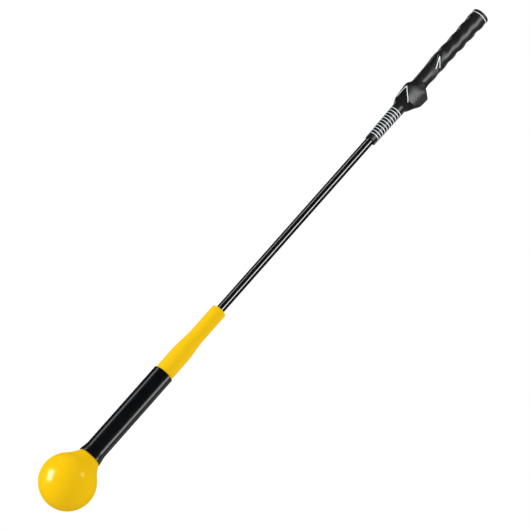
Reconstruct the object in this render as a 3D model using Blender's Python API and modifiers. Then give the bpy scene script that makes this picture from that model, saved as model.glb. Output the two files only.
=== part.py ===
"""Weighted golf swing trainer: a flexible rod with a moulded training grip and a weighted yellow ball.

The stick stands along +Z. Its origin is the lowest point of the ball, on the stick's axis. Metres.
The grip's front, where its two thumb facets lie, faces -Y.
"""

from math import asin, cos, degrees, pi, radians, sin, tan

import bmesh
import bpy
import numpy as np

MM = 0.001
GAP = 0.3  # clearance between two pieces that touch on the real stick

# Everything below is in millimetres. Heights are along +Z from the ball's lowest point.
TOTAL_LENGTH = 1016.0

BALL_R = 42.8
NECK_FOOT_R = 17.4
NECK_FOOT_Z = 91.2
NECK_FOOT_SLOPE = 26.0  # degrees between the ball's flank and the axis, where the flank meets the neck
NECK_TOP_R = 15.1
NECK_TOP_Z = 118.0

ROD_R = 6.6
ROD_BOTTOM_Z = 24.0
ROD_TOP_Z = 1000.0
ROD_CHAMFER = 1.0

WEIGHT_R = 15.0
WEIGHT_BOTTOM_Z = 24.0
WEIGHT_TOP_Z = 60.0
WEIGHT_CHAMFER = 2.0
PIN_R = 2.0
PIN_LENGTH = 28.0
PIN_CHAMFER = 0.5

STIFFENER_R = 10.0
STIFFENER_BOTTOM_Z = 62.0
STIFFENER_TOP_Z = 246.0

TUBE_BOTTOM_Z = 91.4
TUBE_SHOULDER_Z = 110.0  # above this the shrunk tube is straight
TUBE_TOP_Z = 258.0
TUBE_R = 16.25
TUBE_MOUTH_R = 18.6

SLEEVE_BOTTOM_Z = NECK_TOP_Z + GAP
SLEEVE_R = 14.7
SLEEVE_TAPER_BOTTOM_Z = 295.0
SLEEVE_TAPER_TOP_Z = 336.0
SLEEVE_NARROW_R = 11.9
SLEEVE_TOP_Z = 387.0
SLEEVE_EDGE_R = 2.0

GRIP_LENGTH = 274.0
GRIP_MOUTH_Z = TOTAL_LENGTH - GRIP_LENGTH
GRIP_BORE_R = 7.6
GRIP_MOUTH_BORE_R = ROD_R + GAP
GRIP_MOUTH_BORE_LENGTH = 40.0
CAP_THICKNESS = 4.2
CAP_R = 13.8
CAP_EDGE_R = 1.4
CAP_STEM_R = GRIP_BORE_R - GAP
CAP_STEM_LENGTH = 7.5
CAP_VENT_R = 1.5
TAPE_BOTTOM = 42.0  # above the grip's mouth
TAPE_R = GRIP_BORE_R - GAP

ROUND_STEPS = 40
GRIP_COLUMNS = 44
GRIP_COARSE_ROW = 6.0
GRIP_FINE_ROW = 2.8
GRIP_SCULPTED = (68.0, 192.0)  # the heights that need the fine rows, from the grip's mouth

# The grip's outline without its facets: height above the mouth, mean radius, and how far the
# section's centre moves to the right and to the front.
GRIP_SPINE = (
    (0.0, 8.1, 0.0, 0.0),
    (45.0, 9.2, 0.0, 0.0),
    (70.0, 9.7, 0.0, 0.0),
    (100.0, 10.4, -0.6, 0.0),
    (126.0, 11.1, -1.2, 0.0),
    (190.0, 12.0, -1.2, 0.3),
    (212.0, 12.3, -0.4, 0.9),
    (237.0, 12.8, -0.4, 1.1),
    (262.0, 13.4, 0.0, 0.2),
    (GRIP_LENGTH, 13.5, 0.0, 0.0),
)
COLLAR = (80.5, 9.0, 2.2)  # height, half length and rise of the bead under the facets
FINGER_PITCH = 22.9
FINGER_RIDGE_Z = 132.0
FINGER_SIDE = 140.0  # the side that the fingers wrap, in degrees from the front towards +X
FINGER_RISE = (0.6, 0.6)  # half height all round, and what the fingers' side adds
FINGER_SLANT = 17.0
FINGER_SPAN = (118.0, 258.0)
FINGER_LATE = 62.0  # how much further up the ridges start on the side away from the fingers
FINGER_SMOOTH = (18.0, 58.0, 0.8)  # the side, spread in degrees and share of the ridges' softening

# A facet is (facing in degrees from the front towards +X, lift in degrees towards the butt, a point
# on it: right, front, height above the mouth). A block is the space inside its facets.
PAD = (
    (-2.0, 3.4, (-14.4, 16.6, 101.0)),
    (33.0, 3.0, (7.5, 16.6, 92.0)),
)
PAD_SOFTNESS = 3.0
LOWER_BLOCK = (
    (-36.0, -29.0, (-13.0, 17.5, 98.0)),
    (-22.0, -47.0, (-3.0, 17.8, 87.5)),
    (8.0, 20.0, (0.0, 12.3, 118.5)),
    (-42.0, 38.0, (-9.2, 10.6, 112.3)),
    (-98.0, -2.0, (-16.0, 8.0, 97.0)),
    (-90.0, 38.0, (-14.4, 8.0, 111.5)),
    (-90.0, -32.0, (-14.2, 5.0, 81.0)),
    (35.0, -58.0, (8.0, 12.0, 81.7)),
    (137.0, -6.0, (26.4, 6.3, 104.0)),
    (84.0, -36.0, (20.6, 5.0, 88.5)),
    (90.0, 56.0, (24.0, 8.0, 111.5)),
    (180.0, 0.0, (0.0, -8.0, 100.0)),
)
UPPER_BLOCK = (
    (8.0, -18.0, (-9.5, 19.7, 171.0)),
    (41.0, 15.0, (-9.5, 19.7, 171.0)),
    (-50.0, -20.0, (-9.5, 19.7, 171.0)),
    (-40.0, 37.0, (-9.5, 19.7, 173.0)),
    (-95.0, -4.0, (-12.8, 14.0, 168.0)),
    (-90.0, 42.0, (-12.0, 10.0, 178.0)),
    (-90.0, -30.0, (-11.0, 8.0, 156.0)),
    (90.0, 0.0, (9.0, 0.0, 165.0)),
    (140.0, 0.0, (4.5, -5.4, 165.0)),
    (180.0, 0.0, (0.0, -7.0, 170.0)),
)
HOOK_FACING = 138.0
HOOK_SPREAD = 78.0  # degrees to each side over which the hook sinks into the handle
HOOK_REACH = 19.8
HOOK_Z = (108.0, 110.0)
HOOK_FLANK = (8.5, 15.0)  # below and above
EDGE_SOFTNESS = 0.9
FOOT_SOFTNESS = 1.9


def clear_scene():
    for obj in list(bpy.data.objects):
        bpy.data.objects.remove(obj, do_unlink=True)


def new_collection(name):
    collection = bpy.data.collections.new(name)
    bpy.context.scene.collection.children.link(collection)
    return collection


def material(name, colour, roughness, metallic=0.0):
    made = bpy.data.materials.new(name)
    made.use_nodes = True
    shader = made.node_tree.nodes["Principled BSDF"]
    shader.inputs["Base Color"].default_value = (*colour, 1.0)
    shader.inputs["Roughness"].default_value = roughness
    shader.inputs["Metallic"].default_value = metallic
    return made


def add_object(name, mesh, collection, surface=None):
    obj = bpy.data.objects.new(name, mesh)
    collection.objects.link(obj)
    if surface:
        mesh.materials.append(surface)
        mesh.shade_smooth()
        mesh.set_sharp_from_angle(angle=radians(35))
    return obj


def turned(name, profile, collection, surface, steps=ROUND_STEPS):
    """A solid turned about Z. The profile holds (radius, height) and runs down its outer side."""
    on_axis = profile[0][0] == 0 and profile[-1][0] == 0
    points = [(radius * MM, 0.0, height * MM) for radius, height in profile]
    edges = [(i, i + 1) for i in range(len(points) - 1)]
    if not on_axis:
        edges.append((len(points) - 1, 0))
    mesh = bpy.data.meshes.new(name)
    mesh.from_pydata(points, edges, [])
    obj = add_object(name, mesh, collection, surface)
    screw = obj.modifiers.new("Turn", "SCREW")
    screw.steps = steps
    screw.render_steps = steps
    screw.use_merge_vertices = True
    screw.merge_threshold = 0.00001
    screw.use_smooth_shade = True
    return obj


def arc(centre, radius, start, end, count):
    """Points on an arc, from start to end degrees, with 0 pointing outwards and 90 up."""
    angles = (radians(start + (end - start) * i / count) for i in range(count + 1))
    return [(centre[0] + radius * cos(a), centre[1] + radius * sin(a)) for a in angles]


def cross_drill(obj, radius, length, height, cutters):
    """Drills obj through along Y at the given height."""
    mesh = bpy.data.meshes.new(obj.name + "_drill")
    bm = bmesh.new()
    bmesh.ops.create_cone(
        bm,
        cap_ends=True,
        segments=20,
        radius1=radius * MM,
        radius2=radius * MM,
        depth=length * MM,
    )
    bm.to_mesh(mesh)
    bm.free()
    drill = add_object(mesh.name, mesh, cutters)
    drill.rotation_euler = (pi / 2, 0, 0)
    drill.location = (0, 0, height * MM)
    drill.hide_render = True
    drill.display_type = "WIRE"
    cut = obj.modifiers.new("Drill", "BOOLEAN")
    cut.operation = "DIFFERENCE"
    cut.solver = "EXACT"
    cut.object = drill


def chamfered_rod(radius, bottom, top, chamfer):
    return [
        (0.0, top),
        (radius - chamfer, top),
        (radius, top - chamfer),
        (radius, bottom + chamfer),
        (radius - chamfer, bottom),
        (0.0, bottom),
    ]


def build_rod(collection, cutters, surface):
    profile = chamfered_rod(ROD_R, ROD_BOTTOM_Z, ROD_TOP_Z, ROD_CHAMFER)
    rod = turned("flex_rod", profile, collection, surface)
    cross_drill(rod, PIN_R + GAP, 4 * ROD_R, BALL_R, cutters)


def build_weight(collection, cutters, surface):
    bore = ROD_R + GAP
    outer = chamfered_rod(WEIGHT_R, WEIGHT_BOTTOM_Z, WEIGHT_TOP_Z, WEIGHT_CHAMFER)[1:-1]
    weight = turned(
        "ball_weight",
        [(bore, WEIGHT_TOP_Z), *outer, (bore, WEIGHT_BOTTOM_Z)],
        collection,
        surface,
    )
    cross_drill(weight, PIN_R + GAP, 4 * WEIGHT_R, BALL_R, cutters)


def build_pin(collection, surface):
    half = PIN_LENGTH / 2
    pin = turned("weight_pin", chamfered_rod(PIN_R, -half, half, PIN_CHAMFER), collection, surface, 20)
    pin.rotation_euler = (pi / 2, 0, 0)
    pin.location = (0, 0, BALL_R * MM)


def neck_radius(height):
    """The ball's neck, which tapers up inside the tube."""
    share = (height - NECK_FOOT_Z) / (NECK_TOP_Z - NECK_FOOT_Z)
    return NECK_FOOT_R + (NECK_TOP_R - NECK_FOOT_R) * share


def flank():
    """Centre and radius of the hollow flank that touches the ball and ends at the neck's foot."""
    up = NECK_FOOT_Z - BALL_R
    out, rise = cos(radians(NECK_FOOT_SLOPE)), sin(radians(NECK_FOOT_SLOPE))
    spare = NECK_FOOT_R**2 + up**2 - BALL_R**2
    radius = spare / (2 * (BALL_R - NECK_FOOT_R * out - up * rise))
    return (NECK_FOOT_R + radius * out, NECK_FOOT_Z + radius * rise), radius


def build_ball_cover(collection, surface):
    centre, radius = flank()
    meeting = degrees(asin((centre[1] - BALL_R) / (BALL_R + radius)))
    cavity = WEIGHT_R + GAP
    bore = STIFFENER_R + GAP
    shelf = WEIGHT_TOP_Z + GAP
    profile = [(bore, NECK_TOP_Z), (NECK_TOP_R - 1, NECK_TOP_Z), (NECK_TOP_R, NECK_TOP_Z - 1)]
    profile += arc(centre, radius, 180 + NECK_FOOT_SLOPE, 180 + meeting, 5)
    profile += arc((0, BALL_R), BALL_R, meeting, 0, 6)[1:]
    profile += arc((0, BALL_R), BALL_R, 0, -90, 12)[1:-1]
    profile += [(0.0, 0.0), (0.0, WEIGHT_BOTTOM_Z - GAP), (cavity, WEIGHT_BOTTOM_Z - GAP)]
    profile += [(cavity, shelf), (bore, shelf)]
    first = profile.index((0.0, 0.0))
    points = profile[first + 1 :] + profile[: first + 1]
    turned("ball_cover", points, collection, surface)


def build_stiffener(collection, surface):
    bore = ROD_R + GAP
    profile = [(bore, STIFFENER_TOP_Z), (STIFFENER_R, STIFFENER_TOP_Z)]
    profile += [(STIFFENER_R, STIFFENER_BOTTOM_Z), (bore, STIFFENER_BOTTOM_Z)]
    turned("stiffener_tube", profile, collection, surface, 32)


def build_tube(collection, surface):
    inside = SLEEVE_R + GAP
    foot = neck_radius(TUBE_BOTTOM_Z) + GAP
    profile = [(inside, TUBE_TOP_Z), (TUBE_R - 0.5, TUBE_TOP_Z), (TUBE_R, TUBE_TOP_Z - 0.6)]
    rise = TUBE_SHOULDER_Z - TUBE_BOTTOM_Z
    for i in range(7):
        part = i / 6
        flare = (1 - cos(pi * part)) / 2 * part**0.5
        profile.append((TUBE_R + (TUBE_MOUTH_R - TUBE_R) * flare, TUBE_SHOULDER_Z - rise * part))
    profile += [(foot, TUBE_BOTTOM_Z)]
    profile += [(neck_radius(NECK_TOP_Z) + GAP, NECK_TOP_Z), (inside, NECK_TOP_Z + 4)]
    turned("neck_tube", profile, collection, surface)


def build_sleeve(collection, surface):
    bore = ROD_R + GAP
    wide_bore = STIFFENER_R + GAP
    profile = [(bore, SLEEVE_TOP_Z)]
    profile += arc(
        (SLEEVE_NARROW_R - SLEEVE_EDGE_R, SLEEVE_TOP_Z - SLEEVE_EDGE_R), SLEEVE_EDGE_R, 90, 0, 4
    )
    for i in range(9):
        part = i / 8
        blend = (1 - cos(pi * part)) / 2
        height = SLEEVE_TAPER_TOP_Z + (SLEEVE_TAPER_BOTTOM_Z - SLEEVE_TAPER_TOP_Z) * part
        profile.append((SLEEVE_NARROW_R + (SLEEVE_R - SLEEVE_NARROW_R) * blend, height))
    profile += [(SLEEVE_R, SLEEVE_BOTTOM_Z), (wide_bore, SLEEVE_BOTTOM_Z)]
    profile += [(wide_bore, STIFFENER_TOP_Z + GAP), (bore, STIFFENER_TOP_Z + GAP)]
    turned("tapered_sleeve", profile, collection, surface)


def build_tape(collection, surface):
    bottom = GRIP_MOUTH_Z + TAPE_BOTTOM
    bore = ROD_R + GAP
    profile = [(bore, ROD_TOP_Z), (TAPE_R, ROD_TOP_Z), (TAPE_R, bottom), (bore, bottom)]
    turned("grip_tape", profile, collection, surface, 32)


def build_cap(collection, surface):
    under = TOTAL_LENGTH - CAP_THICKNESS
    profile = [(CAP_VENT_R, TOTAL_LENGTH)]
    profile += arc((CAP_R - CAP_EDGE_R, TOTAL_LENGTH - CAP_EDGE_R), CAP_EDGE_R, 90, 0, 4)
    profile += [(CAP_R, under), (CAP_STEM_R, under), (CAP_STEM_R, under - CAP_STEM_LENGTH)]
    profile += [(CAP_VENT_R, under - CAP_STEM_LENGTH)]
    turned("grip_end_cap", profile, collection, surface)


def soft_least(values, softness):
    """The least of several arrays, with the corner where they cross rounded off."""
    least = np.min(values, axis=0)
    total = sum(np.exp(-np.minimum((value - least) / softness, 60)) for value in values)
    return least - softness * np.log(total)


def facing(degrees):
    """The direction (right, front) of an angle measured from the front towards +X."""
    return sin(radians(degrees)), cos(radians(degrees))


def facet_reach(facet, angle, height):
    """How far out from the axis the facet's plane lies, in the direction of angle, at this height."""
    turn, lift, (right, front, level) = facet
    out = np.cos(np.radians(angle - turn))
    towards = facing(turn)
    offset = right * towards[0] + front * towards[1] + (level - height) * tan(radians(lift))
    return np.where(out > 0.05, offset / np.maximum(out, 0.05), 400.0)


def block_reach(facets, angle, height):
    return soft_least([facet_reach(facet, angle, height) for facet in facets], EDGE_SOFTNESS)


def fade(height, low, high, length):
    """1 between low and high, falling smoothly to 0 over the length beyond each."""
    outside = np.maximum(low - height, height - high)
    return 0.5 + 0.5 * np.cos(pi * np.clip(outside / length, 0, 1))


def handle_radius(angle, height):
    """The grip without its blocks: a tapered handle with a bead and slanted finger ridges."""
    spine = np.array(GRIP_SPINE)
    mean, right, front = (np.interp(height, spine[:, 0], spine[:, i]) for i in (1, 2, 3))
    radius = mean + right * np.sin(np.radians(angle)) + front * np.cos(np.radians(angle))
    level, half_length, rise = COLLAR
    radius += rise * fade(height, level, level, half_length)
    around = np.radians(angle - FINGER_SIDE)
    ridge_z = FINGER_RIDGE_Z - FINGER_SLANT * np.sin(around) ** 2
    rise = FINGER_RISE[0] + FINGER_RISE[1] * (1 + np.cos(around)) / 2
    side, spread, share = FINGER_SMOOTH
    turn = (angle - side + 180) % 360 - 180
    rise = rise * (1 - share * np.exp(-((turn / spread) ** 2)))
    start = FINGER_SPAN[0] + FINGER_LATE * (1 - np.cos(around)) / 2
    wave = np.cos(2 * pi * (height - ridge_z) / FINGER_PITCH)
    return radius + rise * wave * fade(height, start, FINGER_SPAN[1], 12.0)


def hook_reach(angle, height):
    """The fin that the trigger finger bears on."""
    turn = np.abs((angle - HOOK_FACING + 180) % 360 - 180)
    flank = np.where(height < HOOK_Z[0], *HOOK_FLANK)
    return HOOK_REACH * fade(turn, 0.0, 6.0, HOOK_SPREAD) ** 0.6 * fade(height, *HOOK_Z, flank)


def grip_radius(angle, height):
    """The grip's outer radius at an angle from the front and a height above its mouth."""
    pad = soft_least([facet_reach(facet, angle, height) for facet in PAD], PAD_SOFTNESS)
    blocks = [
        soft_least([pad, block_reach(LOWER_BLOCK, angle, height)], EDGE_SOFTNESS),
        block_reach(UPPER_BLOCK, angle, height),
        hook_reach(angle, height),
    ]
    return -soft_least([-handle_radius(angle, height), *(-b for b in blocks)], FOOT_SOFTNESS)


def grip_rows():
    """Heights of the grip's rows, close together where it is sculpted."""
    low, high = GRIP_SCULPTED
    top = GRIP_LENGTH - CAP_THICKNESS - GAP
    spans = ((0.0, low, GRIP_COARSE_ROW * 2), (low, high, GRIP_FINE_ROW), (high, top, GRIP_COARSE_ROW))
    rows = [0.0]
    for start, end, step in spans:
        rows += list(np.linspace(start, end, round((end - start) / step) + 1)[1:])
    return rows


def build_grip(collection, surface):
    """A loft between unlike sections, with a stepped bore."""
    angles = np.arange(GRIP_COLUMNS) * 360.0 / GRIP_COLUMNS
    rows = grip_rows()
    top = rows[-1]
    rings = [(grip_radius(angles, np.full_like(angles, row)), row) for row in rows]
    narrow, wide = GRIP_MOUTH_BORE_R, GRIP_BORE_R
    step = GRIP_MOUTH_BORE_LENGTH
    bore = ((wide, top), (wide, step + 1), (narrow, step), (narrow, 0.0))
    rings += [(np.full_like(angles, radius), height) for radius, height in bore]
    bm = bmesh.new()
    loops = []
    for radii, height in rings:
        loop = []
        for angle, radius in zip(angles, radii):
            right, front = facing(angle)
            place = (right * radius * MM, -front * radius * MM, (GRIP_MOUTH_Z + height) * MM)
            loop.append(bm.verts.new(place))
        loops.append(loop)
    for low, high in zip(loops, loops[1:] + loops[:1]):
        for i in range(GRIP_COLUMNS):
            j = (i + 1) % GRIP_COLUMNS
            bm.faces.new((low[i], low[j], high[j], high[i]))
    mesh = bpy.data.meshes.new("grip_sleeve")
    bm.to_mesh(mesh)
    bm.free()
    add_object("grip_sleeve", mesh, collection, surface)


def build():
    clear_scene()
    parts = new_collection("swing_trainer_stick")
    cutters = new_collection("cutters")
    black_rubber = material("black_rubber", (0.02, 0.02, 0.021), 0.5)
    cap_rubber = material("cap_rubber", (0.016, 0.016, 0.017), 0.55)
    black_gloss = material("black_gloss", (0.008, 0.008, 0.009), 0.12)
    shrink_black = material("shrink_black", (0.01, 0.01, 0.012), 0.22)
    yellow_gloss = material("yellow_gloss", (0.92, 0.56, 0.0), 0.18)
    yellow_satin = material("yellow_satin", (0.9, 0.55, 0.0), 0.38)
    steel = material("steel", (0.42, 0.42, 0.43), 0.35, 1.0)
    tape = material("tape", (0.62, 0.55, 0.4), 0.8)
    build_rod(parts, cutters, black_gloss)
    build_weight(parts, cutters, steel)
    build_pin(parts, steel)
    build_ball_cover(parts, yellow_gloss)
    build_stiffener(parts, steel)
    build_tube(parts, shrink_black)
    build_sleeve(parts, yellow_satin)
    build_tape(parts, tape)
    build_grip(parts, black_rubber)
    build_cap(parts, cap_rubber)


build()
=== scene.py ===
"""The looks of a weighted golf swing trainer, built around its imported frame.

The stick stands along +Z on the lowest point of its ball, and its front faces -Y. Sizes are in
millimetres until a mesh is made. Angles around the stick run from the front towards +X.
"""

from math import asin, atan2, cos, degrees, pi, radians, sin, sqrt, tan

import bpy
import numpy as np
from mathutils import Matrix, Vector


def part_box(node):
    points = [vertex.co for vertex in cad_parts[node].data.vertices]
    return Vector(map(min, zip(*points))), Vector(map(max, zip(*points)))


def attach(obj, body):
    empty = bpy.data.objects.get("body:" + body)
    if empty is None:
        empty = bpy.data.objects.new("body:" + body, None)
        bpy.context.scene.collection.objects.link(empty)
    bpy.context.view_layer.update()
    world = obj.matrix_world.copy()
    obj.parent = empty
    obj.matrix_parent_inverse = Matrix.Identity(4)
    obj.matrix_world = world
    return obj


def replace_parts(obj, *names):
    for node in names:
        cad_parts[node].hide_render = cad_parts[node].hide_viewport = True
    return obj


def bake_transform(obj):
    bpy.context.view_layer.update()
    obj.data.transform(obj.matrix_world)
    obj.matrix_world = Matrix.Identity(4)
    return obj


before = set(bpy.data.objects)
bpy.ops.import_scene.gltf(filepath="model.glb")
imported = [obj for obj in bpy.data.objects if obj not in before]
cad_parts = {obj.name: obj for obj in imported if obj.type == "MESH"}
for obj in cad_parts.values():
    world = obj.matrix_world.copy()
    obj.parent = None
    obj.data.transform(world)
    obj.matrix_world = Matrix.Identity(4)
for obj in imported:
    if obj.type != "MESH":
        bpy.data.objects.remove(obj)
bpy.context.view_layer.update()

MM = 0.001
GAP = 0.3  # clearance between two pieces that touch on the real stick


def cad_levels(node):
    """(lowest height, highest height, radius) of a turned CAD node, in millimetres."""
    low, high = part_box(node)
    return low.z / MM, high.z / MM, (high.x - low.x) / 2 / MM


# ---------------------------------------------------------------------------------- dimensions

BALL_R = cad_levels("ball_cover")[2]
NECK_FOOT_R = 17.4
NECK_FOOT_Z = 91.2
NECK_FOOT_SLOPE = 26.0  # degrees between the ball's flank and the axis at the neck's foot
NECK_TOP_R = 15.1
NECK_TOP_Z = cad_levels("ball_cover")[1]
NECK_CHAMFER = 1.0
STIFFENER_BORE_R = 10.3
CAVITY_R = 15.3
CAVITY_Z = (23.7, 60.3)
POLE_R = 0.02  # where the ball's profile, which closes on itself, passes the axis
POLE_ANGLE = -89.5  # degrees at which its round part starts, beside the lowest point

TUBE_BOTTOM_Z, TUBE_TOP_Z, TUBE_MOUTH_R = cad_levels("neck_tube")
TUBE_R = 16.25
TUBE_SHOULDER_Z = TUBE_BOTTOM_Z + 18.6
TUBE_LIP_R = 0.35
TUBE_FUNNEL = 4.0  # the height over which its bore narrows from the sleeve to the neck
TUBE_BORE_BEVEL = (0.2, 0.3)  # at its bottom and its top
TUBE_END_SWELL = 0.12  # how much wider it is at its cut end
TUBE_END_Z = (TUBE_TOP_Z - 3.0, TUBE_TOP_Z - 1.4)  # where it starts to swell, and is widest
TUBE_END_R = 0.5

SLEEVE_BOTTOM_Z, SLEEVE_TOP_Z, SLEEVE_R = cad_levels("tapered_sleeve")
SLEEVE_TAPER = (295.0, 336.0)
SLEEVE_NARROW_R = 11.9
SLEEVE_EDGE_R = 2.2
SLEEVE_MOUTH_BEVEL = 0.4
SLEEVE_BORE_STEP_Z = 246.3

ROD_BOTTOM_Z, ROD_TOP_Z, ROD_R = cad_levels("flex_rod")
ROD_CHAMFER = 1.0
ROD_BORE_R = ROD_R + GAP

CAP_BOTTOM_Z, TOTAL_LENGTH, CAP_R = cad_levels("grip_end_cap")
CAP_THICKNESS = 4.2
CAP_LIP_R = 0.5
CAP_EDGE_R = 1.4
CAP_LINE = (9.6, 0.5, 0.3)  # radius, half width and depth of the line turned in its end
CAP_VENT_R = 1.5
CAP_VENT_EDGE = (0.5, 0.15)  # size of the vent's rounded edge, and of its middle point
CAP_STEM_R = 7.3

GRIP_MOUTH_Z, GRIP_TOP_Z = cad_levels("grip_sleeve")[:2]
GRIP_BORE_R = 7.6
GRIP_NARROW_BORE = 40.0  # length of the narrow bore above the mouth
GRIP_LIP_R = 1.1
GRIP_TOP_BEVEL = (0.25, 0.5)  # in and down

SHARP_ANGLE = radians(38)  # edges at least this sharp aren't smoothed

# How finely the surfaces are divided: columns around, rows or steps along.
TURNED_COLUMNS = 160
BALL_COLUMNS = 192
ROD_COLUMNS = 96
GRIP_COLUMNS = 288
RING_COLUMNS = 144
GRIP_ROWS = 330
BALL_ROWS = 90
CURVE_ROWS = 24
ROW_STEP = 3.0
TUBE_ROW_STEP = 2.5
MARK_STEPS = 28
MARK_COLUMNS = 6

# The grip's outline without its facets: height above the mouth, mean radius, and how far the
# section's centre moves to the right and to the front.
GRIP_SPINE = (
    (0.0, 8.1, 0.0, 0.0),
    (45.0, 9.2, 0.0, 0.0),
    (70.0, 9.7, 0.0, 0.0),
    (100.0, 10.4, -0.6, 0.0),
    (126.0, 11.1, -1.2, 0.0),
    (190.0, 12.0, -1.2, 0.3),
    (212.0, 12.3, -0.4, 0.9),
    (237.0, 12.8, -0.4, 1.1),
    (262.0, 13.4, 0.0, 0.2),
    (274.0, 13.5, 0.0, 0.0),
)
COLLAR = (80.5, 9.0, 2.2)  # height, half length and rise of the bead under the facets
FINGER_PITCH = 22.9
FINGER_RIDGE_Z = 132.0
FINGER_SIDE = 140.0  # the side that the fingers wrap
FINGER_RISE = (0.6, 0.6)  # half height all round, and what the fingers' side adds
FINGER_SLANT = 17.0
FINGER_SPAN = (118.0, 258.0)
FINGER_FADE = 12.0
FINGER_LATE = 62.0  # how much further up the ridges start on the side away from the fingers
FINGER_SMOOTH = (18.0, 58.0, 0.8)  # the side, spread in degrees and share of the ridges' softening

# A facet is (facing, lift in degrees towards the butt, a point on it: right, front, height above
# the mouth). A block is the space inside its facets.
PAD = (
    (-2.0, 3.4, (-14.4, 16.6, 101.0)),
    (33.0, 3.0, (7.5, 16.6, 92.0)),
)
PAD_SOFTNESS = 3.0
LOWER_BLOCK = (
    (-36.0, -29.0, (-13.0, 17.5, 98.0)),
    (-22.0, -47.0, (-3.0, 17.8, 87.5)),
    (8.0, 20.0, (0.0, 12.3, 118.5)),
    (-42.0, 38.0, (-9.2, 10.6, 112.3)),
    (-98.0, -2.0, (-16.0, 8.0, 97.0)),
    (-90.0, 38.0, (-14.4, 8.0, 111.5)),
    (-90.0, -32.0, (-14.2, 5.0, 81.0)),
    (35.0, -58.0, (8.0, 12.0, 81.7)),
    (137.0, -6.0, (26.4, 6.3, 104.0)),
    (84.0, -36.0, (20.6, 5.0, 88.5)),
    (90.0, 56.0, (24.0, 8.0, 111.5)),
    (180.0, 0.0, (0.0, -8.0, 100.0)),
)
UPPER_BLOCK = (
    (8.0, -18.0, (-9.5, 19.7, 171.0)),
    (41.0, 15.0, (-9.5, 19.7, 171.0)),
    (-50.0, -20.0, (-9.5, 19.7, 171.0)),
    (-40.0, 37.0, (-9.5, 19.7, 173.0)),
    (-95.0, -4.0, (-12.8, 14.0, 168.0)),
    (-90.0, 42.0, (-12.0, 10.0, 178.0)),
    (-90.0, -30.0, (-11.0, 8.0, 156.0)),
    (90.0, 0.0, (9.0, 0.0, 165.0)),
    (140.0, 0.0, (4.5, -5.4, 165.0)),
    (180.0, 0.0, (0.0, -7.0, 170.0)),
)
HOOK_FACING = 138.0
HOOK_HALF_WIDTH = 6.0  # degrees to each side over which the hook keeps its full reach
HOOK_SPREAD = 78.0  # degrees beyond these over which it sinks into the handle
HOOK_FULLNESS = 0.6  # below 1, its sides bulge
HOOK_REACH = 19.8
HOOK_Z = (108.0, 110.0)
HOOK_FLANK = (8.5, 15.0)  # below and above
EDGE_SOFTNESS = 0.9
FOOT_SOFTNESS = 1.9
GRAZING = 0.05  # the least cosine at which a facet still bounds a direction
FAR = 400.0  # reach of a facet that faces away

# White paint on the grip. Heights are above the mouth.
RING_HEIGHTS = [10.6 + 5.22 * i for i in range(11)] + [268.3]
RING_WIDTH = 1.3
GROOVE_DEPTH = 0.35
GROOVE_WALL = 0.12  # width of a groove's sloping side
GROOVE_CLEAR = 0.35  # rows of the grip this close to a groove give way to the groove's own rows
GROOVE_SHOULDER = 0.3  # how far outside the groove the outermost of its own rows lies
PAINT_SINK = 0.06  # how far the paint lies below the rubber around it
PAINT_GAP = 0.05  # between the paint and the groove's sides
PAINT_LIFT = 0.01  # between the paint and the groove's bottom
PAINT_BEVEL = (0.12, 0.05)  # across and down
MARK_WIDTH = 1.2
MARK_RISE = 0.08
MARK_ROOT = 0.3  # how deep in the rubber a mark's underside lies
MARK_TIP = 0.02  # the square of the share of its width that a leg keeps at its very tip
# A mark is the apex and the two leg ends of a V, each as (angle, height).
UPPER_MARK = ((-18.0, 171.5), (12.0, 153.2), (30.0, 159.5))
LOWER_MARK = ((-37.5, 99.6), (-67.0, 81.5), (17.0, 82.0))

# ---------------------------------------------------------------------------------- mesh tools


def mesh_object(name, points, faces):
    """An object from points in millimetres, smooth but for its sharp edges."""
    mesh = bpy.data.meshes.new(name)
    mesh.from_pydata([tuple(p) for p in np.asarray(points) * MM], [], faces)
    mesh.validate()
    mesh.shade_smooth()
    mesh.set_sharp_from_angle(angle=SHARP_ANGLE)
    obj = bpy.data.objects.new(name, mesh)
    bpy.context.scene.collection.objects.link(obj)
    return obj


def ring_points(radii, angles, height):
    """Points around the axis, at an angle from the front towards +X."""
    a = np.radians(angles)
    return np.stack([radii * np.sin(a), -radii * np.cos(a), np.full_like(a, height)], axis=1)


def loft_faces(rows, columns, closed, first=0):
    """Quads between rows of points, with the last row joined to the first one or both ends capped."""
    faces = []
    for row in range(rows if closed else rows - 1):
        low = first + row * columns
        high = first + (row + 1) % rows * columns
        for i in range(columns):
            j = (i + 1) % columns
            faces.append((low + i, low + j, high + j, high + i))
    if not closed:
        faces.append(tuple(reversed(range(first, first + columns))))
        faces.append(tuple(range(first + (rows - 1) * columns, first + rows * columns)))
    return faces


def skin(name, rings, closed):
    """A body over rings of points that run up its outer side. A closed one has a bore."""
    return mesh_object(name, np.concatenate(rings), loft_faces(len(rings), len(rings[0]), closed))


def waviness(angles, height, size, seed):
    """A soft irregularity of the given size, from a few crossed waves."""
    a = np.radians(angles)
    total = np.zeros_like(a)
    for i in range(1, 5):
        turn = seed * 1.7 + i * 2.1
        total = total + np.sin(i % 3 * a + turn + height / (9.0 + 8.0 * i)) / i
    return size * total


def turned(name, profile, columns=TURNED_COLUMNS, closed=True, wave=0.0, seed=1):
    """A turned piece. The profile holds (radius, height) and runs up its outer side.
    Unless it is closed, both ends are capped flat."""
    angles = np.arange(columns) * 360.0 / columns
    outer_r = max(radius for radius, _ in profile)
    rings = []
    for radius, height in profile:
        share = (radius / outer_r) ** 4
        radii = np.full(columns, float(radius)) + share * waviness(angles, height, wave, seed)
        rings.append(ring_points(radii, angles, height))
    return skin(name, rings, closed)


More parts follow.
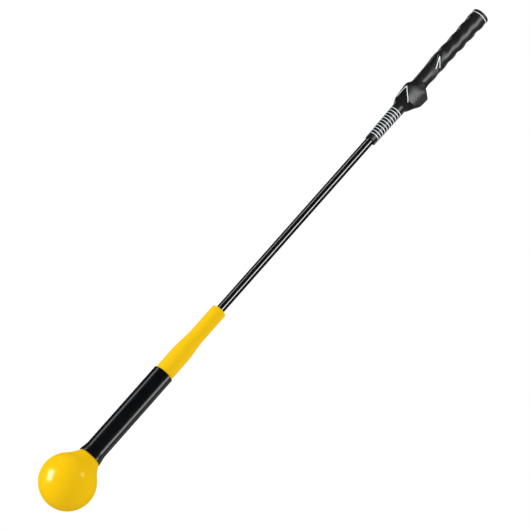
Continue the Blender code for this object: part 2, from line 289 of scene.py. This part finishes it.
def arc(centre, radius, start, end, count):
    """Points on an arc, from start to end degrees, with 0 pointing outwards and 90 up."""
    angles = (radians(start + (end - start) * i / count) for i in range(count + 1))
    return [(centre[0] + radius * cos(a), centre[1] + radius * sin(a)) for a in angles]


def straight(start, end, step):
    """Points on a line in a profile, about step apart, without the last one."""
    count = max(1, int(np.hypot(end[0] - start[0], end[1] - start[1]) / step))
    return [tuple(np.add(start, np.subtract(end, start) * i / count)) for i in range(count)]


# ---------------------------------------------------------------------------------- the grip


def soft_least(values, softness):
    """The least of several arrays, with the corner where they cross rounded off."""
    least = np.min(values, axis=0)
    total = sum(np.exp(-np.minimum((value - least) / softness, 60)) for value in values)
    return least - softness * np.log(total)


def facet_reach(facet, angle, height):
    """How far out from the axis the facet's plane lies, in the direction of angle."""
    turn, lift, (right, front, level) = facet
    out = np.cos(np.radians(angle - turn))
    offset = right * sin(radians(turn)) + front * cos(radians(turn))
    offset = offset + (level - height) * tan(radians(lift))
    return np.where(out > GRAZING, offset / np.maximum(out, GRAZING), FAR)


def block_reach(facets, angle, height):
    """How far out the space inside a block's facets reaches, with its edges rounded off."""
    return soft_least([facet_reach(facet, angle, height) for facet in facets], EDGE_SOFTNESS)


def fade(value, low, high, length):
    """1 between low and high, falling smoothly to 0 over the length beyond each."""
    outside = np.maximum(low - value, value - high)
    return 0.5 + 0.5 * np.cos(pi * np.clip(outside / length, 0, 1))


def handle_radius(angle, height):
    """The grip without its blocks: a tapered handle with a bead and slanted finger ridges."""
    spine = np.array(GRIP_SPINE)
    mean, right, front = (np.interp(height, spine[:, 0], spine[:, i]) for i in (1, 2, 3))
    radius = mean + right * np.sin(np.radians(angle)) + front * np.cos(np.radians(angle))
    level, half_length, rise = COLLAR
    radius = radius + rise * fade(height, level, level, half_length)
    around = np.radians(angle - FINGER_SIDE)
    ridge_z = FINGER_RIDGE_Z - FINGER_SLANT * np.sin(around) ** 2
    rise = FINGER_RISE[0] + FINGER_RISE[1] * (1 + np.cos(around)) / 2
    side, spread, share = FINGER_SMOOTH
    turn = (angle - side + 180) % 360 - 180
    rise = rise * (1 - share * np.exp(-((turn / spread) ** 2)))
    start = FINGER_SPAN[0] + FINGER_LATE * (1 - np.cos(around)) / 2
    wave = np.cos(2 * pi * (height - ridge_z) / FINGER_PITCH)
    return radius + rise * wave * fade(height, start, FINGER_SPAN[1], FINGER_FADE)


def hook_reach(angle, height):
    """The fin that the trigger finger bears on."""
    turn = np.abs((angle - HOOK_FACING + 180) % 360 - 180)
    flank = np.where(height < HOOK_Z[0], *HOOK_FLANK)
    across = fade(turn, 0.0, HOOK_HALF_WIDTH, HOOK_SPREAD) ** HOOK_FULLNESS
    return HOOK_REACH * across * fade(height, *HOOK_Z, flank)


def grip_radius(angle, height):
    """The grip's outer radius at an angle and a height above its mouth."""
    angle, height = np.broadcast_arrays(np.asarray(angle, float), np.asarray(height, float))
    pad = soft_least([facet_reach(facet, angle, height) for facet in PAD], PAD_SOFTNESS)
    blocks = [
        soft_least([pad, block_reach(LOWER_BLOCK, angle, height)], EDGE_SOFTNESS),
        block_reach(UPPER_BLOCK, angle, height),
        hook_reach(angle, height),
    ]
    return -soft_least([-handle_radius(angle, height), *(-b for b in blocks)], FOOT_SOFTNESS)


def groove(height):
    """How deep the ring grooves cut at a height: flat bottoms with steep sides."""
    nearest = np.min([np.abs(height - ring) for ring in RING_HEIGHTS], axis=0)
    inside = (RING_WIDTH / 2 + GROOVE_WALL / 2 - nearest) / GROOVE_WALL
    return GROOVE_DEPTH * np.clip(inside, 0, 1)


def grip_heights():
    """Rows up the grip between its lip and its top, with rows of their own at each groove."""
    top = GRIP_TOP_Z - GRIP_MOUTH_Z
    rows = set(np.round(np.linspace(GRIP_LIP_R + 0.1, top - GRIP_TOP_BEVEL[1], GRIP_ROWS), 3))
    edge = RING_WIDTH / 2
    for ring in RING_HEIGHTS:
        rows -= {row for row in rows if abs(row - ring) < edge + GROOVE_CLEAR}
        for beyond in (-GROOVE_WALL / 2, GROOVE_WALL / 2, GROOVE_SHOULDER):
            rows |= {round(ring + side * (edge + beyond), 3) for side in (-1, 1)}
    return sorted(rows)


def build_grip():
    """The moulded rubber sleeve: a loft between unlike sections with painted grooves."""
    angles = np.arange(GRIP_COLUMNS) * 360.0 / GRIP_COLUMNS
    top = GRIP_TOP_Z - GRIP_MOUTH_Z
    rings = []

    def add(radii, height):
        rings.append(ring_points(radii, angles, GRIP_MOUTH_Z + height))

    mouth = grip_radius(angles, 0.0) - GRIP_LIP_R
    for turn in (0, 30, 60, 90):
        add(mouth + GRIP_LIP_R * sin(radians(turn)), GRIP_LIP_R * (1 - cos(radians(turn))))
    for height in grip_heights():
        add(grip_radius(angles, height) - groove(height), height)
    add(grip_radius(angles, top) - GRIP_TOP_BEVEL[0], top)
    bore = (
        (GRIP_BORE_R, top),
        (GRIP_BORE_R, GRIP_NARROW_BORE + 1),
        (ROD_BORE_R, GRIP_NARROW_BORE),
        (ROD_BORE_R, 0.0),
    )
    for radius, height in bore:
        add(np.full(GRIP_COLUMNS, radius), height)
    grip = skin("grip", rings, closed=True)
    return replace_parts(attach(grip, "grip"), "grip_sleeve")


def build_rings():
    """Paint in the ring grooves, each ring a closed band of its own."""
    angles = np.arange(RING_COLUMNS) * 360.0 / RING_COLUMNS
    half = RING_WIDTH / 2 - PAINT_GAP
    across, down = PAINT_BEVEL
    section = [(half, GROOVE_DEPTH - PAINT_LIFT), (half, PAINT_SINK + down), (half - across, PAINT_SINK)]
    section = [(-x, depth) for x, depth in section] + list(reversed(section))
    points, faces = [], []
    for ring in RING_HEIGHTS:
        first = len(points) * RING_COLUMNS
        faces += loft_faces(len(section), RING_COLUMNS, closed=True, first=first)
        for shift, depth in section:
            radii = grip_radius(angles, ring + shift) - depth
            points.append(ring_points(radii, angles, GRIP_MOUTH_Z + ring + shift))
    rings = mesh_object("grip_ring_paint", np.concatenate(points), faces)
    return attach(rings, "grip")


def on_grip(angle, height, rise):
    """A point on the grip's surface, lifted by rise."""
    radius = float(grip_radius(angle, height)) + rise
    a = radians(angle)
    return np.array([radius * sin(a), -radius * cos(a), GRIP_MOUTH_Z + height])


def strip_section(centre, reach):
    """Points around a painted strip: its sunk underside and, back again, its slightly domed top."""
    spots = [2 * j / MARK_COLUMNS - 1 for j in range(MARK_COLUMNS + 1)]
    under = [on_grip(*(centre + reach * spot), -MARK_ROOT) for spot in spots]
    over = [on_grip(*(centre + reach * spot), MARK_RISE * (1 - spot**6)) for spot in reversed(spots)]
    return np.array(under + over)


def strip_on_grip(start, end):
    """Sections of a painted strip that follows the surface from start to end, with round ends."""
    first, last = on_grip(*start, 0), on_grip(*end, 0)
    length = np.linalg.norm(last - first)
    along = (last - first) / length
    reach = MARK_WIDTH / 2 / length
    sections = []
    for i in range(MARK_STEPS + 1):
        share = -reach + (1 + 2 * reach) * i / MARK_STEPS
        beyond = max(-share, share - 1, 0) / reach
        half = MARK_WIDTH / 2 * sqrt(max(1 - beyond**2, MARK_TIP))
        chord = first + (last - first) * share
        a = atan2(chord[0], -chord[1])
        centre = np.array([degrees(a), chord[2] - GRIP_MOUTH_Z])
        side = np.cross((sin(a), -cos(a), 0), along)
        side /= np.linalg.norm(side)
        turn = (side[0] * cos(a) + side[1] * sin(a)) / float(grip_radius(*centre))
        sections.append(strip_section(centre, np.array([degrees(turn), side[2]]) * half))
    return sections


def build_mark(name, apex, *ends):
    """A white V painted on a facet, open towards the mouth."""
    sections, faces = [], []
    for end in ends:
        first = sum(len(section) for section in sections)
        leg = strip_on_grip(apex, end)
        faces += loft_faces(len(leg), len(leg[0]), closed=False, first=first)
        sections += leg
    mark = mesh_object(name, np.concatenate(sections), faces)
    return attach(mark, "grip")


def build_cap():
    """The butt cap, with a fine turned line and a vent hole in its end."""
    top = TOTAL_LENGTH
    under = top - CAP_THICKNESS
    lip = (CAP_R - CAP_LIP_R, under + CAP_LIP_R)
    profile = [(CAP_VENT_R, CAP_BOTTOM_Z), (CAP_STEM_R, CAP_BOTTOM_Z), (CAP_STEM_R, under)]
    profile += [(CAP_R - CAP_LIP_R, under), *arc(lip, CAP_LIP_R, -60, 0, 4)]
    profile += arc((CAP_R - CAP_EDGE_R, top - CAP_EDGE_R), CAP_EDGE_R, 0, 90, 10)
    line, half, depth = CAP_LINE
    profile += [(line + half, top), (line + half / 2, top - depth)]
    profile += [(line - half / 2, top - depth), (line - half, top)]
    edge, middle = CAP_VENT_EDGE
    profile += [(CAP_VENT_R + edge, top), (CAP_VENT_R + middle, top - middle), (CAP_VENT_R, top - edge)]
    cap = turned("grip_cap", profile)
    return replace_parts(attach(cap, "grip"), "grip_end_cap")


# ---------------------------------------------------------------------------------- rod and head


def build_rod():
    """The rod in two halves that meet midway between the sleeve and the grip."""
    middle = (SLEEVE_TOP_Z + GRIP_MOUTH_Z) / 2
    lower = [(ROD_R - ROD_CHAMFER, ROD_BOTTOM_Z)]
    lower += straight((ROD_R, ROD_BOTTOM_Z + ROD_CHAMFER), (ROD_R, middle), ROW_STEP) + [(ROD_R, middle)]
    upper = straight((ROD_R, middle), (ROD_R, ROD_TOP_Z - ROD_CHAMFER), ROW_STEP)
    upper += [(ROD_R, ROD_TOP_Z - ROD_CHAMFER), (ROD_R - ROD_CHAMFER, ROD_TOP_Z)]
    halves = []
    for name, profile, bodies, ends in (
        ("rod_upper", upper, ("grip", "rod"), (GRIP_MOUTH_Z, middle)),
        ("rod_lower", lower, ("rod", "head"), (middle, SLEEVE_TOP_Z)),
    ):
        half = turned(name, profile, ROD_COLUMNS, closed=False)
        halves.append(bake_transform(half))
    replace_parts(halves[0], "flex_rod")
    return halves


def flank():
    """Centre and radius of the hollow flank that touches the ball and ends at the neck's foot."""
    up = NECK_FOOT_Z - BALL_R
    out, rise = cos(radians(NECK_FOOT_SLOPE)), sin(radians(NECK_FOOT_SLOPE))
    spare = NECK_FOOT_R**2 + up**2 - BALL_R**2
    radius = spare / (2 * (BALL_R - NECK_FOOT_R * out - up * rise))
    return (NECK_FOOT_R + radius * out, NECK_FOOT_Z + radius * rise), radius


def neck_radius(height):
    """The ball's neck, which tapers up inside the tube."""
    share = (height - NECK_FOOT_Z) / (NECK_TOP_Z - NECK_FOOT_Z)
    return NECK_FOOT_R + (NECK_TOP_R - NECK_FOOT_R) * share


def build_ball():
    """The moulded ball and its neck, hollow for the weight and the stiffener tube."""
    centre, radius = flank()
    meeting = degrees(asin((centre[1] - BALL_R) / (BALL_R + radius)))
    low, shelf = CAVITY_Z
    profile = [(STIFFENER_BORE_R, shelf), (CAVITY_R, shelf), (CAVITY_R, low)]
    profile += [(POLE_R, low), (POLE_R, 0.0)]
    profile += arc((0, BALL_R), BALL_R, POLE_ANGLE, meeting, BALL_ROWS)
    profile += arc(centre, radius, 180 + meeting, 180 + NECK_FOOT_SLOPE, CURVE_ROWS)[1:]
    profile += [(NECK_TOP_R, NECK_TOP_Z - NECK_CHAMFER), (NECK_TOP_R - NECK_CHAMFER, NECK_TOP_Z)]
    profile += [(STIFFENER_BORE_R, NECK_TOP_Z)]
    ball = turned("ball", profile, BALL_COLUMNS)
    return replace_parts(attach(ball, "head"), "ball_cover")


def build_tube():
    """The black tube shrunk over the sleeve and the ball's neck."""
    inside = SLEEVE_R + GAP
    foot = neck_radius(TUBE_BOTTOM_Z) + GAP
    lip = (TUBE_MOUTH_R - TUBE_LIP_R, TUBE_BOTTOM_Z + TUBE_LIP_R)
    rise = TUBE_SHOULDER_Z - TUBE_BOTTOM_Z
    bottom_bevel, top_bevel = TUBE_BORE_BEVEL
    profile = [(inside, TUBE_TOP_Z - top_bevel), (inside, NECK_TOP_Z + TUBE_FUNNEL)]
    profile += [(neck_radius(NECK_TOP_Z) + GAP, NECK_TOP_Z), (foot, TUBE_BOTTOM_Z + bottom_bevel)]
    profile += arc(lip, TUBE_LIP_R, -90, 0, 4)
    for i in range(1, CURVE_ROWS + 1):
        part = 1 - i / CURVE_ROWS
        flare = (1 - cos(pi * part)) / 2 * part**0.5
        profile.append((TUBE_R + (TUBE_MOUTH_R - TUBE_R) * flare, TUBE_SHOULDER_Z - rise * part))
    swelling, widest = TUBE_END_Z
    profile += straight((TUBE_R, TUBE_SHOULDER_Z + 2), (TUBE_R, swelling), TUBE_ROW_STEP)
    profile += [(TUBE_R, swelling), (TUBE_R + TUBE_END_SWELL, widest)]
    end = (TUBE_R + TUBE_END_SWELL - TUBE_END_R, TUBE_TOP_Z - TUBE_END_R)
    profile += arc(end, TUBE_END_R, 0, 100, 6)
    tube = turned("neck_tube_skin", profile, wave=0.03, seed=3)
    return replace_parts(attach(tube, "head"), "neck_tube")


def build_sleeve():
    """The yellow sleeve, wide under the tube and narrow where it holds the rod."""
    low, high = SLEEVE_TAPER
    profile = [(ROD_BORE_R, SLEEVE_TOP_Z - SLEEVE_MOUTH_BEVEL), (ROD_BORE_R, SLEEVE_BORE_STEP_Z)]
    profile += [(STIFFENER_BORE_R, SLEEVE_BORE_STEP_Z), (STIFFENER_BORE_R, SLEEVE_BOTTOM_Z)]
    profile += straight((SLEEVE_R, SLEEVE_BOTTOM_Z), (SLEEVE_R, low), ROW_STEP)
    for i in range(CURVE_ROWS + 1):
        part = i / CURVE_ROWS
        radius = SLEEVE_NARROW_R + (SLEEVE_R - SLEEVE_NARROW_R) * (1 + cos(pi * part)) / 2
        profile.append((radius, low + (high - low) * part))
    edge = SLEEVE_TOP_Z - SLEEVE_EDGE_R
    profile += straight((SLEEVE_NARROW_R, high + 2), (SLEEVE_NARROW_R, edge), ROW_STEP)
    profile += arc((SLEEVE_NARROW_R - SLEEVE_EDGE_R, edge), SLEEVE_EDGE_R, 0, 90, 10)
    profile += [(ROD_BORE_R + SLEEVE_MOUTH_BEVEL, SLEEVE_TOP_Z)]
    sleeve = turned("sleeve", profile, wave=0.04, seed=5)
    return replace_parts(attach(sleeve, "head"), "tapered_sleeve")


# ---------------------------------------------------------------------------------- materials

RIM_FADE = (0.6, 0.82)  # how far from face-on soft plastic starts to lose its gloss, and has lost it


class Surface:
    """A material whose nodes are added step by step around one Principled shader."""

    def __init__(self, name, roughness, metallic=0.0):
        self.material = bpy.data.materials.new(name)
        self.material.use_nodes = True
        self.tree = self.material.node_tree
        self.shader = self.tree.nodes["Principled BSDF"]
        self.shader.inputs["Roughness"].default_value = roughness
        self.shader.inputs["Metallic"].default_value = metallic
        self.place = self.add("ShaderNodeTexCoord").outputs["Object"]
        self.normal = None

    def add(self, kind, **values):
        """A new node, with some of its properties set."""
        node = self.tree.nodes.new(kind)
        for key, value in values.items():
            setattr(node, key, value)
        return node

    def link(self, output, target):
        self.tree.links.new(output, target)

    def noise(self, scale, detail=4.0, stretch=(1, 1, 1)):
        """Noise in the object's own space, stretched along an axis where stretch is below 1."""
        mapping = self.add("ShaderNodeMapping")
        mapping.inputs["Scale"].default_value = stretch
        texture = self.add("ShaderNodeTexNoise")
        texture.inputs["Scale"].default_value = scale
        texture.inputs["Detail"].default_value = detail
        self.link(self.place, mapping.inputs["Vector"])
        self.link(mapping.outputs["Vector"], texture.inputs["Vector"])
        return texture.outputs["Fac"]

    def cells(self, scale):
        """Distance to the middle of the nearest cell, in the object's own space."""
        texture = self.add("ShaderNodeTexVoronoi")
        texture.inputs["Scale"].default_value = scale
        self.link(self.place, texture.inputs["Vector"])
        return texture.outputs["Distance"]

    def ramp(self, factor, *stops):
        """A colour ramp through (position, colour) stops."""
        node = self.add("ShaderNodeValToRGB")
        elements = node.color_ramp.elements
        while len(elements) < len(stops):
            elements.new(0.5)
        for element, (position, colour) in zip(elements, stops):
            element.position = position
            element.color = (*colour, 1.0)
        self.link(factor, node.inputs["Fac"])
        return node.outputs["Color"]

    def spread(self, factor, low, high, start=0.3, end=0.7):
        """Maps a factor to a value between low and high."""
        node = self.add("ShaderNodeMapRange")
        for key, value in zip(("From Min", "From Max", "To Min", "To Max"), (start, end, low, high)):
            node.inputs[key].default_value = value
        self.link(factor, node.inputs["Value"])
        return node.outputs["Result"]

    def bump(self, height, distance, strength=1.0):
        """Adds a bump of the given depth in metres on top of those added before."""
        node = self.add("ShaderNodeBump")
        node.inputs["Strength"].default_value = strength
        node.inputs["Distance"].default_value = distance
        self.link(height, node.inputs["Height"])
        if self.normal:
            self.link(self.normal, node.inputs["Normal"])
        self.normal = node.outputs["Normal"]
        self.link(self.normal, self.shader.inputs["Normal"])

    def colour(self, output):
        self.link(output, self.shader.inputs["Base Color"])

    def roughness(self, output):
        self.link(output, self.shader.inputs["Roughness"])

    def gloss(self, level):
        """Specular level that fades to nothing at grazing angles, as on soft plastic."""
        facing = self.add("ShaderNodeLayerWeight").outputs["Facing"]
        self.link(self.spread(facing, level, 0.0, *RIM_FADE), self.shader.inputs["Specular IOR Level"])

    def set(self, **values):
        """Sets inputs of the shader by name, with _ for each space."""
        for key, value in values.items():
            self.shader.inputs[key.replace("_", " ")].default_value = value


def grip_rubber():
    """Satin black rubber with a fine moulded grain, duller where it has been handled."""
    s = Surface("grip_rubber", 0.42)
    s.colour(s.ramp(s.noise(60), (0.3, (0.008, 0.008, 0.0085)), (0.7, (0.014, 0.014, 0.015))))
    s.roughness(s.spread(s.noise(25, 3), 0.32, 0.4))
    s.bump(s.cells(900), 0.000004, 0.5)
    s.bump(s.noise(160, 2), 0.00003, 0.4)
    return s.material


def cap_rubber():
    """Duller and slightly paler black rubber, with a fine grain."""
    s = Surface("cap_rubber", 0.5)
    s.colour(s.ramp(s.noise(80), (0.3, (0.01, 0.01, 0.011)), (0.7, (0.018, 0.018, 0.019))))
    s.roughness(s.spread(s.noise(50, 6), 0.42, 0.58))
    s.bump(s.noise(900), 0.00001, 0.6)
    return s.material


def white_paint():
    """Flat white paint, a little greyed and uneven."""
    s = Surface("white_paint", 0.5)
    s.colour(s.ramp(s.noise(220, 5), (0.3, (0.64, 0.7, 0.72)), (0.7, (0.82, 0.87, 0.89))))
    s.roughness(s.spread(s.noise(150), 0.4, 0.6))
    s.bump(s.noise(900), 0.00001, 0.5)
    return s.material


def rod_lacquer():
    """Gloss black lacquer with faint streaks of the glass fibres that run along the rod."""
    s = Surface("rod_lacquer", 0.12)
    streaks = s.noise(900, 3, stretch=(1, 1, 0.02))
    s.colour(s.ramp(streaks, (0.35, (0.002, 0.002, 0.002)), (0.75, (0.004, 0.004, 0.0045))))
    s.roughness(s.spread(s.noise(90, 6, stretch=(1, 1, 0.2)), 0.1, 0.14))
    s.set(Coat_Weight=0.4, Coat_Roughness=0.06)
    return s.material


def tube_black():
    """Shrunk black tube: glossy, with soft orange peel."""
    s = Surface("tube_black", 0.22)
    s.colour(s.ramp(s.noise(40), (0.3, (0.002, 0.0025, 0.0035)), (0.7, (0.004, 0.005, 0.007))))
    s.roughness(s.spread(s.noise(70, 6), 0.2, 0.27))
    s.bump(s.noise(120, 2), 0.00001, 0.2)
    return s.material


def ball_yellow():
    """Gloss yellow soft plastic with the slightest orange peel and a few rubbed patches."""
    s = Surface("ball_yellow", 0.2)
    s.colour(s.ramp(s.noise(18, 3), (0.3, (0.95, 0.57, 0.0)), (0.7, (0.98, 0.59, 0.0))))
    s.roughness(s.spread(s.noise(60, 8), 0.17, 0.25, 0.4, 0.7))
    s.bump(s.noise(300, 2), 0.00001, 0.3)
    s.gloss(0.32)
    s.set(Specular_Tint=(1.0, 0.94, 0.65, 1.0))
    return s.material


def sleeve_yellow():
    """Satin yellow soft plastic with a fine moulded texture."""
    s = Surface("sleeve_yellow", 0.38)
    s.colour(s.ramp(s.noise(30, 4), (0.3, (0.94, 0.57, 0.0)), (0.7, (0.97, 0.59, 0.0))))
    s.roughness(s.spread(s.noise(80, 6), 0.34, 0.46))
    s.bump(s.noise(700, 3), 0.000006, 0.5)
    s.gloss(0.22)
    s.set(Specular_Tint=(1.0, 0.92, 0.55, 1.0))
    return s.material


def turned_steel():
    """Lathe-turned steel, with fine marks around its axis."""
    s = Surface("turned_steel", 0.35, 1.0)
    marks = s.noise(2500, 2, stretch=(0.02, 0.02, 1))
    s.colour(s.ramp(marks, (0.3, (0.33, 0.33, 0.34)), (0.7, (0.48, 0.48, 0.49))))
    s.roughness(s.spread(s.noise(120, 5), 0.28, 0.42))
    s.bump(marks, 0.00001, 0.5)
    return s.material


def paper_tape():
    """Uneven buff paper with a rough surface."""
    s = Surface("paper_tape", 0.8)
    s.colour(s.ramp(s.noise(500, 6), (0.3, (0.5, 0.43, 0.3)), (0.7, (0.66, 0.6, 0.46))))
    s.roughness(s.spread(s.noise(300), 0.7, 0.9))
    s.bump(s.noise(900, 6), 0.00005, 0.6)
    return s.material


def dress(material, *objects):
    """Gives objects one material in place of any they had."""
    for obj in objects:
        obj.data.materials.clear()
        obj.data.materials.append(material)


# ---------------------------------------------------------------------------------- stage

# Places and sizes in this part are in metres.
CAMERA_PLACE = Vector((0.0, -4.579, -0.945))
CAMERA_AIM = Vector((0.00365, 0.0, 0.4849))
CAMERA_ROLL = radians(41.527)
CAMERA_LENS = 219.7  # millimetres, on a sensor 36 mm wide
CAMERA_SHIFT = (0.003, -0.001)
ROOM_LIGHT = 0.8
ROOM_REFLECTED = 0.03
FLOOR_REACH = 6.0
FLOOR_DROP = 0.0002  # how far the floor lies below the ball

# Heights on the stick that the lights aim at.
AIM_BALL = 0.042
AIM_TUBE = 0.18
AIM_ROD = 0.56
AIM_GRIP = 0.87


def build_camera():
    """The camera looks up the stick's front, rolled so that the stick leans to the upper right."""
    data = bpy.data.cameras.new("camera")
    data.lens = CAMERA_LENS
    data.sensor_width = 36.0
    data.clip_end = 50.0
    data.shift_x, data.shift_y = CAMERA_SHIFT
    camera = bpy.data.objects.new("camera", data)
    bpy.context.scene.collection.objects.link(camera)
    aim = (CAMERA_AIM - CAMERA_PLACE).to_track_quat("-Z", "Y").to_matrix()
    camera.matrix_world = (
        Matrix.Translation(CAMERA_PLACE) @ aim.to_4x4() @ Matrix.Rotation(CAMERA_ROLL, 4, "Z")
    )
    bpy.context.scene.camera = camera


def softbox(name, facing, elevation, distance, size, power, aim, seen=True):
    """A soft rectangular light, at an angle around the stick and aimed at a height on it.
    Its size is given across the stick and along it."""
    data = bpy.data.lights.new(name, "AREA")
    data.shape = "RECTANGLE"
    data.size, data.size_y = size
    data.energy = power
    light = bpy.data.objects.new(name, data)
    bpy.context.scene.collection.objects.link(light)
    level = cos(radians(elevation))
    out = Vector((sin(radians(facing)) * level, -cos(radians(facing)) * level, sin(radians(elevation))))
    side = Vector((0, 0, 1)).cross(out).normalized()
    light.location = Vector((0, 0, aim)) + out * distance
    light.rotation_euler = Matrix((side, out.cross(side), out)).transposed().to_euler()
    light.visible_glossy = seen
    return light


def build_world():
    """White behind the object, even light on it, and a dark room for its reflections."""
    world = bpy.data.worlds.new("studio")
    bpy.context.scene.world = world
    world.use_nodes = True
    tree = world.node_tree
    background = tree.nodes["Background"]
    background.inputs["Color"].default_value = (1, 1, 1, 1)
    path = tree.nodes.new("ShaderNodeLightPath")
    level = None
    for ray, strength in (("Is Glossy Ray", ROOM_REFLECTED), ("Is Camera Ray", 1.0)):
        mix = tree.nodes.new("ShaderNodeMix")
        mix.inputs["A"].default_value = ROOM_LIGHT
        if level:
            tree.links.new(level, mix.inputs["A"])
        mix.inputs["B"].default_value = strength
        tree.links.new(path.outputs[ray], mix.inputs["Factor"])
        level = mix.outputs["Result"]
    tree.links.new(level, background.inputs["Strength"])


def build_floor():
    """A pale floor just under the ball. It has one side only, and from below it is clear."""
    corners = [(x * FLOOR_REACH, y * FLOOR_REACH, 0) for x, y in ((-1, -1), (1, -1), (1, 1), (-1, 1))]
    mesh = bpy.data.meshes.new("floor")
    mesh.from_pydata(corners, [], [(0, 1, 2, 3)])
    floor = bpy.data.objects.new("floor", mesh)
    bpy.context.scene.collection.objects.link(floor)
    floor.location.z = -FLOOR_DROP
    floor.visible_diffuse = False
    floor.visible_glossy = False
    floor.visible_shadow = False
    s = Surface("floor", 0.6)
    s.colour(s.ramp(s.noise(3), (0.3, (0.86, 0.86, 0.86)), (0.7, (0.88, 0.88, 0.88))))
    clear = s.add("ShaderNodeBsdfTransparent")
    mixed = s.add("ShaderNodeMixShader")
    geometry = s.add("ShaderNodeNewGeometry")
    s.link(geometry.outputs["Backfacing"], mixed.inputs["Fac"])
    s.link(s.shader.outputs["BSDF"], mixed.inputs[1])
    s.link(clear.outputs["BSDF"], mixed.inputs[2])
    s.link(mixed.outputs["Shader"], s.tree.nodes["Material Output"].inputs["Surface"])
    dress(s.material, floor)
    return floor


def light_only(light, objects):
    """Limits a light to some objects."""
    receivers = bpy.data.collections.new(light.name + "_receivers")
    for obj in objects:
        receivers.objects.link(obj)
    light.light_linking.receiver_collection = receivers


def light_studio(grip, rod, tube, ball, yellow, floor):
    """Lights for each group of pieces: soft ones, and long strips along the rod and the tube."""
    for light in (
        softbox("key_left", -80, -21, 2.4, (0.5, 1.1), 26, AIM_BALL),
        softbox("spot_right", 33, 48, 2.2, (0.5, 0.5), 4.5, AIM_BALL),
        softbox("fill_right", 110, 20, 2.6, (1.4, 2.0), 11.5, aim=0.4, seen=False),
        softbox("fill_back", 170, 20, 2.8, (1.4, 2.0), 14, aim=0.5, seen=False),
    ):
        light_only(light, yellow)
    glint = softbox("glint_left", -80, -21, 2.3, (0.75, 1.3), 80, AIM_BALL)
    glint.visible_diffuse = False
    light_only(glint, ball)
    overhead = softbox("floor_light", -60, 65, 3.2, (3.0, 3.0), 36, aim=0, seen=False)
    light_only(overhead, floor)
    for light in (
        softbox("grip_key", 31, 20, 2.6, (1.6, 1.4), 52, AIM_GRIP),
        softbox("grip_edge_left", -140, 10, 2.6, (0.8, 2.0), 8, AIM_GRIP),
        softbox("grip_edge_right", 140, 10, 2.6, (0.8, 2.0), 5, AIM_GRIP),
    ):
        light_only(light, grip)
    for light in (
        softbox("rod_left", -68, 15, 2.6, (0.4, 2.2), 28, AIM_ROD),
        softbox("rod_right", 38, 15, 2.6, (0.8, 2.2), 88, AIM_ROD),
        softbox("rod_back", 160, 10, 2.6, (1.2, 2.2), 2, AIM_ROD),
    ):
        light_only(light, rod)
    for light in (
        softbox("tube_left", -88, 10, 2.6, (0.6, 1.6), 12, AIM_TUBE),
        softbox("tube_right", 70, 10, 2.6, (0.8, 1.6), 28, AIM_TUBE),
        softbox("tube_back_right", 118, 10, 2.6, (1.6, 1.6), 3.5, AIM_TUBE),
    ):
        light_only(light, tube)


# ---------------------------------------------------------------------------------- the scene

grip = build_grip()
rings = build_rings()
marks = [build_mark("thumb_mark_upper", *UPPER_MARK), build_mark("thumb_mark_lower", *LOWER_MARK)]
cap = build_cap()
rod = build_rod()
tube = build_tube()
ball = build_ball()
sleeve = build_sleeve()
metal = [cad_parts[name] for name in ("ball_weight", "weight_pin", "stiffener_tube")]

dress(grip_rubber(), grip)
dress(white_paint(), rings, *marks)
dress(cap_rubber(), cap)
dress(rod_lacquer(), *rod)
dress(tube_black(), tube)
dress(ball_yellow(), ball)
dress(sleeve_yellow(), sleeve)
dress(turned_steel(), *metal)
dress(paper_tape(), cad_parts["grip_tape"])

build_camera()
build_world()
floor = build_floor()
light_studio(
    grip=[grip, rings, *marks, cap],
    rod=[*rod, *metal],
    tube=[tube],
    ball=[ball],
    yellow=[ball, sleeve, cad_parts["grip_tape"]],
    floor=[floor],
)
bpy.context.scene.view_settings.view_transform = "Standard"
